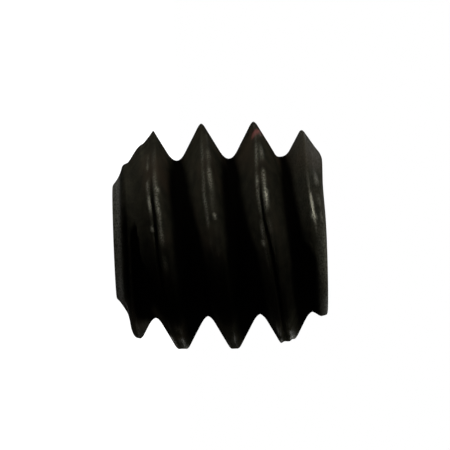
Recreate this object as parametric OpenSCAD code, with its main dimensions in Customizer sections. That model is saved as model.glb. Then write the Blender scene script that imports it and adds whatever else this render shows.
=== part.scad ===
// Headless grub set screw with a hexagon socket, a cup point and a rolled right-hand thread.
// It stands on its cup point, with the socket upwards and its axis on Z.

/* [Body] */
// Overall length, from the cup rim to the socket face
length = 3.175; // [2.6:0.025:6.4]
// Mean diameter over the crests of the thread
crest_d = 3.36; // [3.1:0.02:4]

/* [Thread] */
// Distance from one crest to the next
pitch = 0.79375; // [0.6:0.00625:1]
// Angle between the two flanks
thread_angle = 60; // [50:1:64]
// Part of the sharp thread's height that is missing at the crest
crest_cut = 0.12; // [0.105:0.005:0.2]
// Part of the sharp thread's height that is filled at the root
root_fill = 0.165; // [0.08:0.005:0.25]
// Height above the cup rim at which the crest first passes the +X side
crest_start = 0.182; // [0:0.002:0.79]
// How much higher the crest stands on the -X side, where the rolling closed it
crest_lean = 0.036; // [0:0.002:0.04]
// How far the crest is out of round, higher at -X and +X than between them
crest_oval = 0.032; // [0:0.002:0.036]
// Depth of the open seam that the rolling left along the crest
seam_depth = 0.04; // [0:0.005:0.1]

/* [Cup end] */
// Diameter of the cup point's rim, outside
rim_d = 1.712; // [1.6:0.008:1.9]
// Angle between the cup end's cone and the rim plane
cup_end_angle = 32.5; // [25:0.5:45]
// Angle between the blunt start of the thread and the axis
thread_start_angle = 16; // [8:1:24]
// How much lower than its mean the crest is where the thread starts
thread_start_drop = 0.28; // [0.1:0.02:0.36]
// Length over which the crest then reaches its full height
thread_start_runout = 1; // [0.6:0.05:1.2]
// Width of the flat rim round the cup
rim_w = 0.06; // [0.03:0.01:0.12]
// Angle of the cup's cone
cup_angle = 118; // [90:1:140]

/* [Socket end] */
// Diameter of the socket face
face_d = 2.4; // [2.2:0.02:2.6]
// Angle between the socket end's cone and its face
socket_end_angle = 34.5; // [28:0.5:45]
// How much lower than its mean the crest is where it meets the socket end's cone
thread_end_drop = 0.14; // [0.04:0.02:0.2]
// Length over which the crest sinks to that height
thread_end_runout = 1.2; // [0.6:0.05:1.3]

/* [Socket] */
// Hexagon key size, across the flats
key_size = 1.5875; // [1.3:0.0125:1.7]
// Depth of the flat sides of the socket
socket_depth = 1.35; // [1:0.05:1.5]
// Angle of the cone at the bottom of the socket
socket_tip_angle = 120; // [90:5:150]
// How far the countersunk mouth reaches past the hexagon's corners
mouth_lip = 0.02; // [0.005:0.005:0.05]
// Angle of the countersunk mouth
mouth_angle = 100; // [80:5:120]

/* [Finish] */
// Width of the bevel that breaks the outer edges of the two ends
edge_break = 0.04; // [0.01:0.005:0.05]
// Flats in one turn of the thread
turn_steps = 60; // [24:4:72]

/* [Hidden] */
black_oxide = [0.10, 0.09, 0.08];
$fn = 96;
// How far a cutting shape runs past the face that it cuts
past = 0.05;
// Side of the screw on which the crest is closed, as an angle from +X
closed_side = 180;

// Sharp thread, before its crest is cut and its root is filled
flank_angle = thread_angle / 2;
sharp_h = pitch / 2 / tan(flank_angle);
sharp_crest_r = crest_d / 2 + crest_cut * sharp_h;
root_r = sharp_crest_r - sharp_h * (1 - root_fill);
root_round = root_fill * sharp_h * sin(flank_angle) / (1 - sin(flank_angle));

// Radius of the crest at an angle round the axis
function crest_r(a) = crest_d / 2 + crest_lean * cos(a - closed_side) + crest_oval * cos(2 * (a - closed_side));

// One pitch of the thread's outline at an angle, from root to root: [height, radius]
function root_point(t) = [root_round * sin(t), root_r + root_round * (1 - cos(t))];
function lip_w(a) = (sharp_crest_r - crest_r(a)) * tan(flank_angle);
function lip_point(a, side) = [pitch / 2 + side * lip_w(a), crest_r(a)];
function seam_point(a) = [pitch / 2, crest_r(a) - seam_depth * pow(sin(a - closed_side), 2)];
function outline(a) = concat(
    [for (t = [0, 0.5, 1]) root_point(t * (90 - flank_angle))],
    [lip_point(a, -1), seam_point(a), lip_point(a, 1)],
    [for (t = [-1, -0.5]) root_point(t * (90 - flank_angle)) + [pitch, 0]]
);
points_a_pitch = len(outline(0));

// Rows of points climb the helix, from a turn that ends below the rim to one above the socket face
turns_below = ceil((crest_start + pitch / 2 + past) / pitch);
turns_above = ceil((length + pitch / 2 + past - crest_start) / pitch);
last_row = (turns_below + turns_above) * turn_steps;
function row_angle(i) = 360 * i / turn_steps;
function row_z(i) = crest_start - pitch / 2 + pitch * (i / turn_steps - turns_below);
function place(i, p) = [p[1] * cos(row_angle(i)), p[1] * sin(row_angle(i)), row_z(i) + p[0]];
function full_row(i) = [for (p = outline(row_angle(i))) place(i, p)];

// One more turn of root points closes the last turn of full rows, and a point on the axis each end
thread_points = concat(
    [for (i = [0:last_row]) each full_row(i)],
    [for (i = [1:turn_steps]) place(last_row + i, root_point(0))],
    [[0, 0, row_z(0) - pitch], [0, 0, row_z(last_row + turn_steps) + pitch]]
);
high_centre = len(thread_points) - 1;
low_centre = high_centre - 1;

// Number of point j in row i, and of the next point up the outline
function at(i, j) = i <= last_row ? i * points_a_pitch + j : (last_row + 1) * points_a_pitch + i - last_row - 1;
function above(i, j) = j + 1 < points_a_pitch ? at(i, j + 1) : at(i + turn_steps, 0);

// Border of an end: one turn along the root, and back down the outline
function border(i) = concat(
    [for (k = [0:turn_steps]) at(i + k, 0)],
    [for (j = [points_a_pitch - 1:-1:1]) at(i, j)]
);
function low_fan(loop) = [for (k = [0:len(loop) - 1]) [loop[k], loop[(k + 1) % len(loop)], low_centre]];
function high_fan(loop) = [for (k = [0:len(loop) - 1]) [loop[(k + 1) % len(loop)], loop[k], high_centre]];

module thread() {
    cells = [for (i = [0:last_row - 1]) for (j = [0:points_a_pitch - 1]) [i, j]];
    polyhedron(
        points = thread_points,
        faces = concat(
            [for (c = cells) [at(c[0], c[1]), above(c[0], c[1]), at(c[0] + 1, c[1])]],
            [for (c = cells) [above(c[0], c[1]), above(c[0] + 1, c[1]), at(c[0] + 1, c[1])]],
            low_fan(border(0)),
            high_fan(border(last_row))
        ),
        convexity = 10
    );
}

// Body of revolution that trims both ends: face, broken edge, cone, and the thread's run-out
module end_form() {
    rim_r = rim_d / 2;
    face_r = face_d / 2;
    clear_r = crest_d / 2 + crest_lean + crest_oval + past;
    start_r = crest_d / 2 - thread_start_drop;
    end_r = crest_d / 2 - thread_end_drop;
    cone_top = (root_r - rim_r) * tan(cup_end_angle);
    rotate_extrude() polygon([
        [0, 0],
        [rim_r - edge_break, 0],
        [rim_r + edge_break * cos(cup_end_angle), edge_break * sin(cup_end_angle)],
        [root_r, cone_top],
        [start_r, cone_top + (start_r - root_r) * tan(thread_start_angle)],
        [clear_r, thread_start_runout],
        [clear_r, length - thread_end_runout],
        [end_r, length - (end_r - face_r) * tan(socket_end_angle)],
        [face_r + edge_break * cos(socket_end_angle), length - edge_break * sin(socket_end_angle)],
        [face_r - edge_break, length],
        [0, length]
    ]);
}

// Cone of a countersink: its mouth lies at z = 0 and it points down
module countersink(r, angle, over) {
    h = r / tan(angle / 2);
    translate([0, 0, -h]) cylinder(r1 = 0, r2 = r + over * tan(angle / 2), h = h + over);
}

// Hexagon socket, with its countersunk mouth and the cone at its bottom
module socket() {
    corner_r = key_size / 2 / cos(30);
    translate([0, 0, length]) countersink(corner_r + mouth_lip, mouth_angle, past);
    translate([0, 0, length - socket_depth]) {
        cylinder(r = corner_r, h = socket_depth + past, $fn = 6);
        countersink(key_size / 2, socket_tip_angle, 0);
    }
}

// Hollow of the cup point
module cup() {
    mirror([0, 0, 1]) countersink(rim_d / 2 - rim_w, cup_angle, past);
}

module set_screw() {
    color(black_oxide)
    difference() {
        intersection() {
            thread();
            end_form();
        }
        socket();
        cup();
    }
}

set_screw();
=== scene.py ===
"""Grub set screw of black oxide steel, standing on its cup point on a pale floor."""

import math

import bmesh
import bpy
from mathutils import Matrix, Vector, noise


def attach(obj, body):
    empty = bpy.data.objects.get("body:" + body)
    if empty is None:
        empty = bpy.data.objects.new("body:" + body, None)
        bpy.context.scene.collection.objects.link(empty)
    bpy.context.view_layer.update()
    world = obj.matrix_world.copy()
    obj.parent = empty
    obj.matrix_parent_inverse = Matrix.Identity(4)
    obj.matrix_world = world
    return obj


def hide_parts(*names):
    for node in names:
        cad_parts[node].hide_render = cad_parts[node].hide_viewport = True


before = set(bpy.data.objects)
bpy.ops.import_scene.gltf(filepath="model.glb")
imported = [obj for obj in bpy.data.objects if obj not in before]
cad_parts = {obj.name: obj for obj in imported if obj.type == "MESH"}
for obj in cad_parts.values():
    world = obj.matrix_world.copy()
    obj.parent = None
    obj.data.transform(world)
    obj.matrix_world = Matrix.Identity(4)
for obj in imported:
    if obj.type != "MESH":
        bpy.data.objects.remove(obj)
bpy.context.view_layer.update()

# Set screw of alloy steel with a black oxide finish. Two dies rolled its thread, which pushed two lips up over every
# turn: they meet in a sharp crest on the -X side, and a seam is left between them round the rest of the turn.
# The mesh is one turn swept up the helix, copied from turn to turn and cut off flat at both ends. It is in mm.
LENGTH = 3.175
PITCH = 0.79375
CREST_START = 0.182
BLANK_R = 1.75
STEPS = 240
TURNS = 6
FINE_FROM, FINE_TO = -0.2, 0.1125
MERGE = 0.0005

bm = bmesh.new()
# One amount per vertex of bare steel with painted highlight, and one of painted shade
bare_and_highlight = bm.verts.layers.float.new("bare_and_highlight")
painted_shade = bm.verts.layers.float.new("painted_shade")


def rows(start, end, count):
    """Heights spaced evenly from start on, without end."""
    return [start + (end - start) * i / count for i in range(count)]


heights = rows(-PITCH / 2, FINE_FROM, 6) + rows(FINE_FROM, FINE_TO, 25) + rows(FINE_TO, PITCH / 2, 8) + [PITCH / 2]
profile = [bm.verts.new((BLANK_R, 0, CREST_START - PITCH + u)) for u in heights]
for lower, upper in zip(profile, profile[1:]):
    bm.edges.new((lower, upper))
bmesh.ops.spin(bm, geom=bm.verts[:] + bm.edges[:], cent=(0, 0, 0), axis=(0, 0, 1), dvec=(0, 0, PITCH / STEPS),
               angle=2 * math.pi, steps=STEPS, use_merge=False, use_duplicate=False)
one_turn = bm.verts[:] + bm.edges[:] + bm.faces[:]
for turn in range(1, TURNS):
    copy = bmesh.ops.duplicate(bm, geom=one_turn)["geom"]
    copied = [g for g in copy if isinstance(g, bmesh.types.BMVert)]
    bmesh.ops.translate(bm, vec=(0, 0, turn * PITCH), verts=copied)
bmesh.ops.remove_doubles(bm, verts=bm.verts, dist=MERGE)


def cut(height, **side):
    """Cuts the mesh level at a height, and can clear away what is on one side of the cut."""
    near = 0.0008
    bmesh.ops.bisect_plane(bm, geom=bm.verts[:] + bm.edges[:] + bm.faces[:], dist=near,
                           plane_co=(0, 0, height), plane_no=(0, 0, 1), **side)
    for v in bm.verts:
        if abs(v.co.z - height) < near:
            v.co.z = height


cut(0, clear_inner=True)
cut(LENGTH, clear_outer=True)

# Rows near both ends, close together at the edges and wider apart towards the middle
for from_end in [0.004, 0.012, 0.024, 0.04] + [0.07 + 0.03 * i for i in range(15)]:
    cut(from_end)
    cut(LENGTH - from_end)


def between(points, x):
    """Value at x of the smooth line through points."""
    if x <= points[0][0]:
        return points[0][1]
    for i in range(len(points) - 1):
        (x0, y0), (x1, y1) = points[i], points[i + 1]
        if x <= x1:
            before = points[i - 1] if i else points[i]
            after = points[i + 2] if i + 2 < len(points) else points[i + 1]
            t = (x - x0) / (x1 - x0)
            rise0 = (y1 - before[1]) / (x1 - before[0]) * (x1 - x0)
            rise1 = (after[1] - y0) / (after[0] - x0) * (x1 - x0)
            return (((2 * t - 3) * t * t + 1) * y0 + ((t - 2) * t + 1) * t * rise0
                    + (3 - 2 * t) * t * t * y1 + (t - 1) * t * t * rise1)
    return points[-1][1]


def smaller(a, b, soft):
    """The smaller of two radii, with the edge between them rounded."""
    overlap = max(soft - abs(a - b), 0) / soft
    return min(a, b) - overlap * overlap * soft / 4


def hump(x, width):
    """1 at x = 0, and less and less away from it."""
    return math.exp(-(x / width) ** 2)


def ramp(x, start, end):
    """0 up to start and 1 from end on. Where end is the lower of the two, it falls instead."""
    return max(0, min(1, (x - start) / (end - start)))


# Lower and upper edge of the crest, each against the degrees travelled along it. The first turn starts at 0 on
# the +X side, so that every half turn after it passes the closed side, at 180, 540 and so on
LOW_EDGE = [(0, -0.056), (90, -0.07), (180, -0.024), (205, -0.07), (237, -0.165), (258, -0.16), (278, -0.15),
            (300, -0.13), (360, -0.068), (450, -0.07), (540, -0.014), (570, -0.075), (600, -0.135), (620, -0.135),
            (650, -0.12), (680, -0.09), (720, -0.067), (810, -0.07), (900, -0.016), (928, -0.053), (954, -0.125),
            (975, -0.15), (990, -0.14), (1020, -0.1), (1080, -0.09), (1170, -0.07), (1260, -0.058), (1315, -0.16),
            (1342, -0.135)]
HIGH_EDGE = [(0, 0.055), (90, 0.05), (180, 0.026), (205, 0.01), (237, -0.03), (258, -0.034), (278, -0.02), (300, 0),
             (360, 0.074), (450, 0.06), (540, 0.02), (570, 0.02), (600, -0.012), (620, -0.025), (650, -0.01),
             (680, 0.02), (720, 0.055), (810, 0.05), (900, 0.014), (928, 0.02), (954, -0.018), (975, -0.018),
             (990, -0.01), (1020, 0.01), (1080, 0.125), (1170, 0.08), (1260, 0.02), (1342, -0.02)]

# Plain height of the crest: its mean, how much higher it is on the closed side, and how far it is out of round
CREST_R = 1.68
LEAN = 0.036
OVAL = 0.032

# How far the crest stands out from its plain height, against the same travel, and how far it sinks towards the
# socket end, against the distance from the socket's face
CREST_OUT = [(0, 0.004), (180, 0.015), (360, -0.032), (540, -0.002), (720, 0.004), (900, 0.007), (1080, -0.028),
             (1260, -0.002)]
CREST_DROP = [(0, 0.12), (0.27, 0.11), (0.54, 0.085), (0.56, 0.075), (0.585, 0.054), (0.62, 0.052), (0.66, 0.056),
              (0.69, 0.045), (0.75, 0), (4, 0)]
CREST_SOFT = 0.04

# Flanks, which keep to the plain helix on the open sides even where the lips were pushed off it, and roots, which
# are a little less deep on the closed side. The plain flanks would meet at SHARP_R
FLANK = math.tan(math.radians(30))
SHARP_R = 1.7625
LOW_STEEPER, HIGH_STEEPER = 1.06, 1.03
HELD = 0.8
ROOT_R = 1.163
ROOT_RISE = 0.04
ROOT_SOFT = 0.13

# Place and depth of the seam, against the travel, and the bead that runs along each lip
SEAM_PLACE = [(0, 0), (180, 0), (205, -0.03), (237, -0.1), (258, -0.105), (278, -0.125), (300, -0.1), (330, -0.06),
              (360, 0), (540, 0), (570, -0.03), (600, -0.075), (620, -0.08), (650, -0.065), (720, 0), (900, 0),
              (928, -0.017), (954, -0.068), (970, -0.082), (980, -0.078), (996, -0.036), (1016, -0.006), (1044, 0),
              (1260, 0)]
SEAM_DEPTH = [(0, 0), (90, 0.03), (180, 0.01), (215, 0.03), (235, 0.06), (255, 0.11), (285, 0.14), (310, 0.1),
              (335, 0.02), (360, 0), (450, 0.03), (540, 0), (570, 0.012), (610, 0.025), (650, 0.02), (700, 0),
              (720, 0), (810, 0.03), (890, 0), (925, 0.02), (950, 0.04), (970, 0.09), (1020, 0.12), (1050, 0.06),
              (1066, 0.02), (1080, 0), (1120, 0.03), (1170, 0.05), (1260, 0)]
SEAM_W = 0.025
BEAD_IN = 0.008
BEAD_W = 0.023
BEAD_HEIGHT = 0.009

# Outlines of the two ends, as distance from the end and radius, on the closed side and opposite it
CUP_CLOSED = [(0, 0.84), (0.0075, 0.868), (0.068, 0.945), (0.128, 1.06), (0.158, 1.149), (0.19, 1.178), (0.25, 1.208),
              (0.31, 1.294), (0.37, 1.38), (0.43, 1.445), (0.49, 1.482), (0.52, 1.513), (0.612, 1.624), (0.7, 1.75),
              (1, 2.1)]
CUP_OPEN = [(0, 0.84), (0.0075, 0.857), (0.038, 0.889), (0.068, 0.931), (0.129, 1.03), (0.167, 1.11), (0.187, 1.212),
            (0.2, 1.303), (0.212, 1.348), (0.228, 1.394), (0.257, 1.439), (0.29, 1.46), (0.36, 1.475), (0.6, 1.6),
            (1, 2.1)]
CUP_SOFT = 0.03
FACE_CLOSED = [(0, 1.165), (0.01, 1.195), (0.03, 1.24), (0.06, 1.284), (0.1, 1.337), (0.27, 1.597), (1, 2.66)]
FACE_OPEN = [(0, 1.185), (0.006, 1.205), (0.02, 1.217), (0.05, 1.225), (0.12, 1.24), (0.2, 1.27), (0.3, 1.42),
             (0.42, 1.68), (1, 2.66)]
FACE_SOFT, FACE_RIM_SOFT = 0.1, 0.02

# How much painted highlight, on bare steel, each place gets: along the lips, against the angle around the screw and
# against the travel, and on the edge of each end, against the angle
LIP_HIGHLIGHT = [(0, 0.24), (10, 0.24), (90, 0.6), (180, 0.08), (205, 0.1), (222, 0.4), (238, 1.1), (252, 1), (264, 0.4),
        (278, 0.1), (290, 0), (315, 0), (335, 0.2), (350, 0.22), (360, 0.24)]
TURN_HIGHLIGHT = [(0, 1), (212, 0.95), (228, 0.65), (242, 0.7), (252, 1), (350, 1), (540, 0.45), (720, 0.45), (880, 1.2),
             (1200, 1.2), (1290, 1), (1310, 1.4), (1350, 1.4)]
CUP_HIGHLIGHT = [(0, 0.12), (180, 0.3), (235, 0.55), (255, 0.55), (270, 0.47), (300, 0.4), (330, 0.2), (360, 0.12)]
FACE_HIGHLIGHT = [(0, 0.2), (180, 0.08), (225, 0.1), (250, 0.26), (275, 0.44), (292, 0.52), (310, 0.3), (340, 0.12),
             (360, 0.2)]

# Painted highlight line on each lip, as distance in from the crest's edge and width, and painted highlight band of
# each end, from the distance at which it begins to the one at which it is full. The whole first turn and the closed
# side of the last turn get a little painted sheen
LOW_HIGHLIGHT_IN, LOW_HIGHLIGHT_W = 0.01, 0.022
HIGH_HIGHLIGHT_IN, HIGH_HIGHLIGHT_W = 0.012, 0.038
CREST_FADE = 0.07
CUP_BAND, FACE_BAND = (0.14, 0.09), (0.2, 0.03)
FIRST_TURN, LAST_TURN = (0.75, 0.35), (0.65, 0.4)
FIRST_SHEEN, LAST_SHEEN = 0.03, 0.08

# Painted glints on bare steel: travel, distance from the crest's middle, length in degrees, width, and how bright
GLINTS = [(1337, -0.14, 2.2, 0.04, 1.4), (242, -0.03, 1.6, 0.028, 1), (262, -0.16, 1.2, 0.022, 1.4),
         (617, -0.02, 1.2, 0.022, 1.4), (965, -0.02, 1.6, 0.028, 1.4), (992, -0.14, 1.2, 0.022, 1.4),
         (335, -0.1, 1.1, 0.02, 1.4), (957, -0.12, 1.1, 0.02, 1.4), (1317, -0.155, 13, 0.022, 0.3),
         (1296, -0.12, 14, 0.03, 0.16)]

# Distance from the crest's middle at which the painted shade of the root begins, below and above the crest, against
# the travel, and how much further out the painted shade begins and is full
SHADE_LOW = [(0, 0.35), (180, 0.6), (235, 0.6), (257, 0.36), (270, 0.32), (283, 0.22), (295, 0.14), (310, 0.13),
           (330, 0.28), (360, 0.28), (450, 0.15), (540, 0.25), (590, 0.2), (617, 0.15), (630, 0.12), (645, 0.11),
           (680, 0.12), (700, 0.18), (720, 0.18), (810, 0.15), (900, 0.25), (940, 0.23), (977, 0.19), (990, 0.16),
           (1003, 0.11), (1040, 0.12), (1060, 0.2), (1080, 0.2), (1170, 0.15), (1260, 0.22), (1340, 0.2),
           (1351, 0.19), (1358, 0.1), (1366, 0.03), (1400, 0)]
SHADE_HIGH = [(-180, 0.6), (-115, 0.5), (-106, 0.36), (-98, 0.23), (-80, 0.18), (-40, 0.13), (-15, 0.25), (20, 0.25),
            (60, 0.15), (180, 0.22), (243, 0.19), (257, 0.18), (270, 0.15), (283, 0.115), (360, 0.07), (450, 0.12),
            (540, 0.2), (603, 0.155), (630, 0.125), (643, 0.08), (720, 0.08), (810, 0.12), (900, 0.25), (963, 0.255),
            (990, 0.245), (1003, 0.218), (1017, 0.18), (1080, 0.12), (1170, 0.12), (1260, 0.3)]
SHADE_FROM, SHADE_FULL = 0.02, 0.09

# Painted shade on stretches of the crest, against the travel, at the foot of the cup's cone, against the angle, in
# the seam, from one depth to another, and thinly on the closed crest, which the last turn lacks
CREST_SHADE = [(264, 0), (280, 0.5), (294, 0.9), (316, 0.9), (328, 0), (624, 0), (638, 0.6), (650, 0.9), (676, 0.88),
             (688, 0), (985, 0), (1005, 0.5), (1025, 0.75), (1035, 0.6), (1045, 0)]
FOOT_SHADE = [(238, 0), (250, 0.7), (257, 1), (300, 1), (330, 0)]
FOOT_HEIGHT, FOOT_W = 0.198, 0.056
SEAM_SHADE = (0.05, 0.11)
CLOSED_SHADE, CLOSED_SHADE_END = 0.3, 1200


def crest_r(degrees):
    """Height of the crest, which is lowest on the two sides between the closed one and the one opposite."""
    a = math.radians(degrees)
    return CREST_R - LEAN * math.cos(a) + OVAL * math.cos(2 * a)


def side_at(degrees, height):
    """Radius of the screw's side, how much bare steel and painted highlight it gets, and how much painted shade."""
    travel = 360 * round((height - CREST_START) / PITCH - degrees / 360) + degrees
    u = height - CREST_START - PITCH * travel / 360
    up = LENGTH - height
    closed = 0.5 - 0.5 * math.cos(math.radians(degrees))
    low, high = between(LOW_EDGE, travel), between(HIGH_EDGE, travel)
    rough = noise.noise(Vector((travel / 9, u * 8, 0)))
    lip_highlight = between(LIP_HIGHLIGHT, degrees) * between(TURN_HIGHLIGHT, travel)

    # Crest, flanks and roots
    plain = crest_r(degrees)
    crest = min(plain, plain + between(CREST_OUT, travel) - between(CREST_DROP, up))
    held = HELD * min(1, 1.3 * abs(math.sin(math.radians(degrees))))
    lip_away = (SHARP_R - plain) * FLANK
    from_low = u - low - (-lip_away - low) * held
    from_high = high + (lip_away - high) * held - u
    r = crest + (plain - crest) * held + min(from_low * LOW_STEEPER, from_high * HIGH_STEEPER) / FLANK
    r = -smaller(-r, -(ROOT_R + ROOT_RISE * closed), ROOT_SOFT)

    # Seam and beads, then the two ends
    seam = between(SEAM_DEPTH, travel) * (1 + 0.3 * rough)
    groove = hump(u - between(SEAM_PLACE, travel), SEAM_W)
    bead = max(hump(u - low - BEAD_IN, BEAD_W), hump(u - high + BEAD_IN, BEAD_W))
    r = smaller(r, crest, CREST_SOFT) - seam * groove
    r += BEAD_HEIGHT * min(1, lip_highlight + 0.1) * (1 + 1.5 * rough) * bead
    r = smaller(r, between(CUP_CLOSED, height) * closed + between(CUP_OPEN, height) * (1 - closed), CUP_SOFT)
    r = smaller(r, between(FACE_CLOSED, up) * closed + between(FACE_OPEN, up) * (1 - closed),
                FACE_SOFT if up > 0.1 else FACE_RIM_SOFT)

    # Bare steel and painted highlights, in patches along the lips, in the glints and on the ends' edges, but not down
    # in the seam
    on_crest = hump(min(0, u - low, high - u) / FLANK, CREST_FADE)
    patch = max(0, 0.5 + 1.5 * noise.noise(Vector((travel / 20, 7.5, 0 if u < (low + high) / 2 else 5))))
    lip_highlights = lip_highlight * on_crest * max(hump(u - low - LOW_HIGHLIGHT_IN, LOW_HIGHLIGHT_W), hump(u - high + HIGH_HIGHLIGHT_IN, HIGH_HIGHLIGHT_W))
    lip_highlights *= max(0, 0.6 + 1.6 * rough) * (0.34 + 1.02 * patch)
    glints = max(glint_strength * hump(travel - t, long) * hump(u - at, wide) for t, at, long, wide, glint_strength in GLINTS)
    end_highlights = (between(CUP_HIGHLIGHT, degrees) * ramp(height, *CUP_BAND)
            + between(FACE_HIGHLIGHT, degrees) * ramp(up, *FACE_BAND) ** 1.6)
    bare_and_highlight_amount = max(lip_highlights, glints, end_highlights) * (1 - groove * min(1, seam / 0.05))

    # Painted shade, in the roots, at the foot of the cup's cone, on parts of the crest, thinly on the closed crest
    # and in the seam
    away = u - (low + high) / 2
    start = between(SHADE_LOW if away < 0 else SHADE_HIGH, travel)
    # Painted shade in the roots, a little lighter near the closed side
    roots = ramp(abs(away), start + SHADE_FROM, start + SHADE_FULL) * ramp(height, 0.12, 0.16)
    roots *= 1 - 0.55 * ramp(closed, 0.9, 1) * ramp(abs(away), 0.34, 0.3)
    foot = hump(height - FOOT_HEIGHT, FOOT_W) * between(FOOT_SHADE, degrees)
    closed_crest = (CLOSED_SHADE if travel < CLOSED_SHADE_END else 0) * on_crest * ramp(closed, 0.7, 1)
    shade = max(roots, foot, between(CREST_SHADE, travel), groove * ramp(seam, *SEAM_SHADE), closed_crest)

    # Thin painted sheen on the first and the last turn, where there is no painted shade
    last = ramp(up, *LAST_TURN) * ramp(closed, 0.5, 0.65)
    bare_and_highlight_amount = max(bare_and_highlight_amount, (1 - shade) * max(FIRST_SHEEN * ramp(height, *FIRST_TURN), LAST_SHEEN * last))
    return r, bare_and_highlight_amount, shade * ramp(up, 0.05, 0.15)


# The side is a little uneven, except right at the two ends, and stays just inside the crest's plain height
UNEVEN, FINE_UNEVEN = 0.003, 0.002
SMOOTH_CUP, SMOOTH_FACE = 0.1, 0.06
INSIDE = 0.0005
for v in bm.verts:
    angle = math.atan2(v.co.y, v.co.x)
    r, v[bare_and_highlight], v[painted_shade] = side_at(math.degrees(angle) % 360, v.co.z)
    here = Vector((r * math.cos(angle), r * math.sin(angle), v.co.z))
    if SMOOTH_CUP < here.z < LENGTH - SMOOTH_FACE:
        r += UNEVEN * noise.noise(here * 6) + FINE_UNEVEN * noise.noise(here * 22) - 0.001
    r = min(r, crest_r(math.degrees(angle)) - INSIDE)
    v.co.x, v.co.y = r * math.cos(angle), r * math.sin(angle)


# Cup point and hexagon socket of the screw. The cup is turned into the narrow end and leaves a thin rim, and the
# socket is punched into the wide end, with a countersunk mouth and a cone at its bottom. Both start at the cut rims.
SOCKET_WEAR = 0.05
FACE_INNER_R = 0.93


def rim(height):
    return [e for e in bm.edges if e.is_boundary and all(abs(v.co.z - height) < 0.0001 for v in e.verts)]


def draw_in(edges, place):
    """Adds one ring inside the rim, where place gives radius and height for an angle, and returns its edges."""
    made = bmesh.ops.extrude_edge_only(bm, edges=edges)["geom"]
    for v in made:
        if isinstance(v, bmesh.types.BMVert):
            angle = math.atan2(v.co.y, v.co.x)
            r, height = place(angle)
            v.co = (r * math.cos(angle), r * math.sin(angle), height)
            if r < FACE_INNER_R:
                v[bare_and_highlight] = SOCKET_WEAR
    return [e for e in made if isinstance(e, bmesh.types.BMEdge) and e.is_boundary]


def close(edges, height):
    """Draws the last ring together to a point on the axis."""
    verts = {v for e in edges for v in e.verts}
    bmesh.ops.pointmerge(bm, verts=list(verts), merge_co=(0, 0, height))


BREAK = 0.004
CUP_R = 0.796
CUP_SLOPE = 1 / math.tan(math.radians(59))
ring = rim(0)
for r, h in [(CUP_R + 0.012, 0), (CUP_R, BREAK), (CUP_R - 0.02, BREAK + 0.02 * CUP_SLOPE)]:
    ring = draw_in(ring, lambda angle: (r, h))
for r in (0.6, 0.4, 0.25, 0.15, 0.08, 0.03):
    ring = draw_in(ring, lambda angle: (r, (CUP_R - r) * CUP_SLOPE))
close(ring, CUP_R * CUP_SLOPE - 0.008)

KEY_R = 1.5875 / 2
SOCKET_DEPTH = 1.35
MOUTH_R = KEY_R / math.cos(math.radians(30)) + 0.02
MOUTH_SLOPE = 1 / math.tan(math.radians(50))
TIP_R = 0.78
TIP_SLOPE = 1 / math.tan(math.radians(60))


def hexagon_r(angle):
    across = math.radians(math.degrees(angle) % 60 - 30)
    return smaller(KEY_R / math.cos(across), KEY_R * 1.147, 0.01)


def at_mouth(inward, down):
    """Place in the countersunk mouth, from its round edge (inward 0) to the hexagon (inward 1)."""
    return lambda angle: (MOUTH_R + (hexagon_r(angle) - MOUTH_R) * inward,
                          LENGTH - (MOUTH_R - hexagon_r(angle)) * inward * MOUTH_SLOPE - down)


ring = rim(LENGTH)
ring = draw_in(ring, lambda angle: (MOUTH_R + 0.012, LENGTH))
for inward, down in [(0, BREAK), (0.5, BREAK), (0.92, BREAK), (1, 0.012), (1, 0.04)]:
    ring = draw_in(ring, at_mouth(inward, down))
for depth in (0.3, 0.6, 0.9, 1.2, SOCKET_DEPTH - 0.01):
    ring = draw_in(ring, lambda angle: (hexagon_r(angle), LENGTH - depth))
ring = draw_in(ring, lambda angle: (hexagon_r(angle) - 0.01, LENGTH - SOCKET_DEPTH))
for r in (TIP_R, 0.76, 0.55, 0.35, 0.2, 0.1, 0.04):
    ring = draw_in(ring, lambda angle: (r, LENGTH - SOCKET_DEPTH - (TIP_R - r) * TIP_SLOPE))
close(ring, LENGTH - SOCKET_DEPTH - TIP_R * TIP_SLOPE + 0.01)

# The edge of the face is dented on the side turned to the photograph, a little above its middle
DENT = 0.02
DENT_REACH = 0.08
DENT_FROM_CLOSED, DENT_WIDTH = 50, 22
for v in bm.verts:
    from_closed = (math.degrees(math.atan2(v.co.y, v.co.x)) - 180) % 360
    if v.co.z > LENGTH - DENT_REACH:
        v.co.z -= DENT * hump(from_closed - DENT_FROM_CLOSED, DENT_WIDTH) * (1 - (LENGTH - v.co.z) / DENT_REACH)

bmesh.ops.remove_doubles(bm, verts=bm.verts, dist=MERGE)
bmesh.ops.scale(bm, vec=(0.001, 0.001, 0.001), verts=bm.verts)
bmesh.ops.recalc_face_normals(bm, faces=bm.faces)
for f in bm.faces:
    f.smooth = True
steel = bpy.data.meshes.new("screw")
bm.to_mesh(steel)
bm.free()
steel.set_sharp_from_angle(angle=math.radians(45))
screw = bpy.data.objects.new("screw", steel)
bpy.context.scene.collection.objects.link(screw)


# Black oxide finish of the screw: olive and brown, with bare steel and painted highlights along the lips, in glints
# and on the ends, painted shade in the roots, the seam and parts of the crest, fine lines along the thread from the
# rolling, and one small speck of rust.
def add(tree, kind, inputs=None, **settings):
    """Adds a shader node. Its inputs are numbers, colours, or the sockets that feed them."""
    made = tree.nodes.new("ShaderNode" + kind)
    for name, value in settings.items():
        setattr(made, name, value)
    for name, value in (inputs or {}).items():
        if isinstance(value, bpy.types.NodeSocket):
            tree.links.new(value, made.inputs[name])
        else:
            made.inputs[name].default_value = value
    return made


def blend(tree, amount, low, high):
    return add(tree, "Mix", {0: amount, 6: low, 7: high}, data_type="RGBA").outputs[2]


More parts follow.
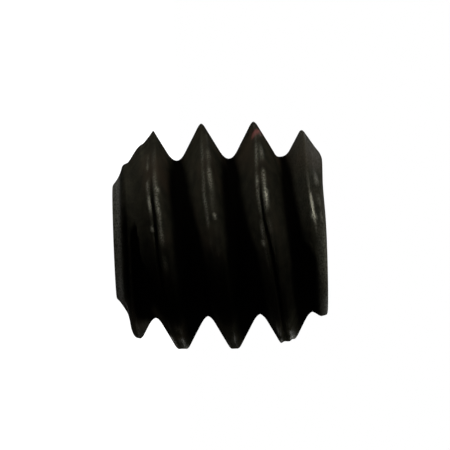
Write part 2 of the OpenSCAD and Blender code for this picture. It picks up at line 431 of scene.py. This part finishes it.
def maths(tree, operation, *values):
    return add(tree, "Math", dict(enumerate(values)), operation=operation).outputs[0]


def spread(tree, value, low, high, to_low=0, to_high=1):
    """The value's range from low to high, stretched to reach from to_low to to_high."""
    return add(tree, "MapRange", {0: value, 1: low, 2: high, 3: to_low, 4: to_high}).outputs[0]


OLIVE_DARK, OLIVE = (0.0075, 0.0075, 0.0052, 1), (0.0135, 0.0125, 0.0082, 1)
BROWN = (0.0155, 0.012, 0.0078, 1)
SHADE_BLACK = (0.0009, 0.0008, 0.0006, 1)
BARE_STEEL_HIGHLIGHT = (0.2, 0.195, 0.15, 1)
RUST = (0.09, 0.032, 0.028, 1)
RUST_PLACE = (-0.00157, -0.00064, 0.00218)

oxide = bpy.data.materials.new("black_oxide")
oxide.use_nodes = True
tree = oxide.node_tree
finish = tree.nodes["Principled BSDF"]
place = add(tree, "TexCoord").outputs["Object"]
bare_and_highlight_fac = add(tree, "Attribute", attribute_name="bare_and_highlight").outputs["Fac"]
shade = add(tree, "Attribute", attribute_name="painted_shade").outputs["Fac"]
mottle = add(tree, "TexNoise", {"Vector": place, "Scale": 5200, "Detail": 4, "Roughness": 0.6}).outputs["Fac"]
patches = add(tree, "TexNoise", {"Vector": place, "Scale": 1300, "Detail": 2}).outputs["Fac"]
grain = add(tree, "TexNoise", {"Vector": place, "Scale": 38000, "Detail": 3, "Roughness": 0.65}).outputs["Fac"]

# Lines from the rolling follow the helix: they change across the flanks and hardly at all along them
xyz = add(tree, "SeparateXYZ", {0: place}).outputs
around = maths(tree, "ARCTAN2", xyz["Y"], xyz["X"])
phase = maths(tree, "SUBTRACT", maths(tree, "MULTIPLY", xyz["Z"], 2000 * math.pi / PITCH), around)
x_squared = maths(tree, "MULTIPLY", xyz["X"], xyz["X"])
y_squared = maths(tree, "MULTIPLY", xyz["Y"], xyz["Y"])
radius = maths(tree, "SQRT", maths(tree, "ADD", x_squared, y_squared))
along = add(tree, "CombineXYZ", {0: maths(tree, "COSINE", phase), 1: maths(tree, "SINE", phase),
                                 2: maths(tree, "MULTIPLY", radius, 4000)}).outputs[0]
rolling = add(tree, "TexNoise", {"Vector": along, "Scale": 5, "Detail": 5, "Roughness": 0.7}).outputs["Fac"]

olive = blend(tree, spread(tree, mottle, 0.35, 0.65), OLIVE_DARK, OLIVE)
brown = blend(tree, spread(tree, patches, 0.5, 0.75), olive, BROWN)
# Painted shade darkens the colour to near black in the roots, the seam, the foot of the cup's cone and parts of the
# crest
shaded_colour = blend(tree, shade, brown, SHADE_BLACK)
# Painted highlights: lighter, partly metallic bare steel along the lips, in glints and on the ends
bare_and_highlight_amount = maths(tree, "MULTIPLY", bare_and_highlight_fac, spread(tree, grain, 0.35, 0.62, 0.15, 1.1))
metal = maths(tree, "MULTIPLY", bare_and_highlight_amount, 0.6)
shown = blend(tree, metal, shaded_colour, BARE_STEEL_HIGHLIGHT)
tree.links.new(metal, finish.inputs["Metallic"])
from_speck = add(tree, "VectorMath", {0: place, 1: RUST_PLACE}, operation="DISTANCE").outputs["Value"]
rust = maths(tree, "MULTIPLY", spread(tree, from_speck, 0.00013, 0.00004), maths(tree, "ADD", mottle, 0.2))
tree.links.new(blend(tree, rust, shown, RUST), finish.inputs["Base Color"])

shade_dull = maths(tree, "MULTIPLY", shade, 0.3)
polish = maths(tree, "MULTIPLY", bare_and_highlight_amount, -0.12)
dullness = maths(tree, "ADD", spread(tree, mottle, 0, 1, 0.36, 0.5), maths(tree, "ADD", polish, shade_dull))
tree.links.new(dullness, finish.inputs["Roughness"])
finish.inputs["Specular IOR Level"].default_value = 0.0
relief = maths(tree, "ADD", maths(tree, "MULTIPLY", grain, 0.5), rolling)
bump = add(tree, "Bump", {"Height": relief, "Strength": 0.5, "Distance": 0.000008})
tree.links.new(bump.outputs["Normal"], finish.inputs["Normal"])
steel.materials.append(oxide)

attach(screw, "root")
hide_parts("set_screw")

# Floor, a round pale board under the screw. It shows as plain white, except that a little of the board itself,
# with the screw's shadow on it, is left in the white close to the screw.
board_shape = bmesh.new()
bmesh.ops.create_circle(board_shape, cap_ends=True, segments=96, radius=0.16)
board = bpy.data.meshes.new("floor")
board_shape.to_mesh(board)
board_shape.free()
floor = bpy.data.objects.new("floor", board)
bpy.context.scene.collection.objects.link(floor)
paper = bpy.data.materials.new("pale_floor")
paper.use_nodes = True
paper_tree = paper.node_tree
paper_finish = paper_tree.nodes["Principled BSDF"]
paper_finish.inputs["Base Color"].default_value = (0.22, 0.22, 0.22, 1)
paper_finish.inputs["Roughness"].default_value = 0.9


def seen(tree):
    """1 for the rays that show the background: the camera's own, and those that metal and glass send on."""
    ray = add(tree, "LightPath").outputs
    sent_on = maths(tree, "MAXIMUM", ray["Is Glossy Ray"], ray["Is Transmission Ray"])
    return maths(tree, "MAXIMUM", ray["Is Camera Ray"], sent_on)


WHITE_SHARE = 0.82
from_screw = add(paper_tree, "VectorMath", {0: add(paper_tree, "TexCoord").outputs["Object"]}, operation="LENGTH")
share = spread(paper_tree, from_screw.outputs["Value"], 0.004, 0.012, WHITE_SHARE, 1)
white = add(paper_tree, "Emission", {"Strength": 1.24}).outputs[0]
mixed = add(paper_tree, "MixShader", {0: maths(paper_tree, "MULTIPLY", seen(paper_tree), share),
                                      1: paper_finish.outputs[0], 2: white}).outputs[0]
paper_tree.links.new(mixed, paper_tree.nodes["Material Output"].inputs["Surface"])
board.materials.append(paper)

# Lamps. The key lamp, the one overhead and the low one stand at the closed side, which is up in the photograph.
# Two stand behind and light the outline, and one at the other side lights the lower tips.
MIDDLE = Vector((0, 0, LENGTH / 2000))


def hang(name, data, place, aim):
    """Puts a lamp in its place and turns it to what it lights."""
    lamp = bpy.data.objects.new(name, data)
    lamp.location = place
    lamp.rotation_euler = (Vector(aim) - Vector(place)).to_track_quat("-Z", "Y").to_euler()
    bpy.context.scene.collection.objects.link(lamp)


for name, place, size, power in [
        ("key", (-0.08, -0.032, 0.055), 0.03, 0.054),
        ("overhead", (0, -0.01, 0.16), 0.05, 0.052),
        ("low", (-0.09, -0.05, 0.008), 0.02, 0.021),
        ("rim_top", (-0.05, 0.08, 0.05), 0.04, 0.08),
        ("rim_bottom", (0.06, 0.08, 0.05), 0.04, 0.08),
        ("bottom", (0.09, -0.012, 0.02), 0.02, 0.012)]:
    disk = bpy.data.lights.new(name, "AREA")
    disk.shape = "DISK"
    disk.size = size
    disk.energy = power
    hang(name, disk, place, MIDDLE)

# Spot that brightens the floor beside the screw, which lights it from below
beam = bpy.data.lights.new("floor_spot", "SPOT")
beam.energy = 0.71
beam.spot_size = math.radians(10)
beam.spot_blend = 0.5
beam.shadow_soft_size = 0.0005
hang("floor_spot", beam, (-0.02, -0.01, 0.03), (-0.0043, -0.0027, 0))

# World, a white room. It is white only where it is seen, straight or in the metal, and gives the screw itself
# hardly any light, so that the lamps alone set its tones.
FILL = 0.03
world = bpy.data.worlds.new("white_room")
bpy.context.scene.world = world
world.use_nodes = True
world_tree = world.node_tree
background = world_tree.nodes["Background"]
background.inputs["Color"].default_value = (1, 1, 1, 1)
world_tree.links.new(spread(world_tree, seen(world_tree), 0, 1, FILL, 1), background.inputs["Strength"])

# Camera, on the -Y side. It is turned a quarter turn, so that the screw lies across the picture with its cup
# point at the left, and then by the small angles and shifts of the photograph.
PIXELS_PER_MM = 66.1
DISTANCE = 60
YAW, NOD, TILT = 0.27, 1.2, 2.19
SHIFT_X, SHIFT_Y = 0.082, 0.203
camera = bpy.data.objects.new("camera", bpy.data.cameras.new("camera"))
bpy.context.scene.collection.objects.link(camera)
bpy.context.scene.camera = camera
camera.data.lens = camera.data.sensor_width * DISTANCE * PIXELS_PER_MM / 450
across_picture = Matrix(((0, -1, 0, 0), (0, 0, -1, 0), (1, 0, 0, 0), (0, 0, 0, 1)))
camera.matrix_world = (Matrix.Translation(MIDDLE) @ across_picture
                       @ Matrix.Rotation(math.radians(-YAW), 4, "Y") @ Matrix.Rotation(math.radians(-NOD), 4, "X")
                       @ Matrix.Rotation(math.radians(-TILT), 4, "Z")
                       @ Matrix.Translation((SHIFT_X / 1000, SHIFT_Y / 1000, DISTANCE / 1000)))
camera.data.clip_start, camera.data.clip_end = 0.005, 2
bpy.context.scene.view_settings.view_transform = "Standard"

bpy.context.view_layer.update()
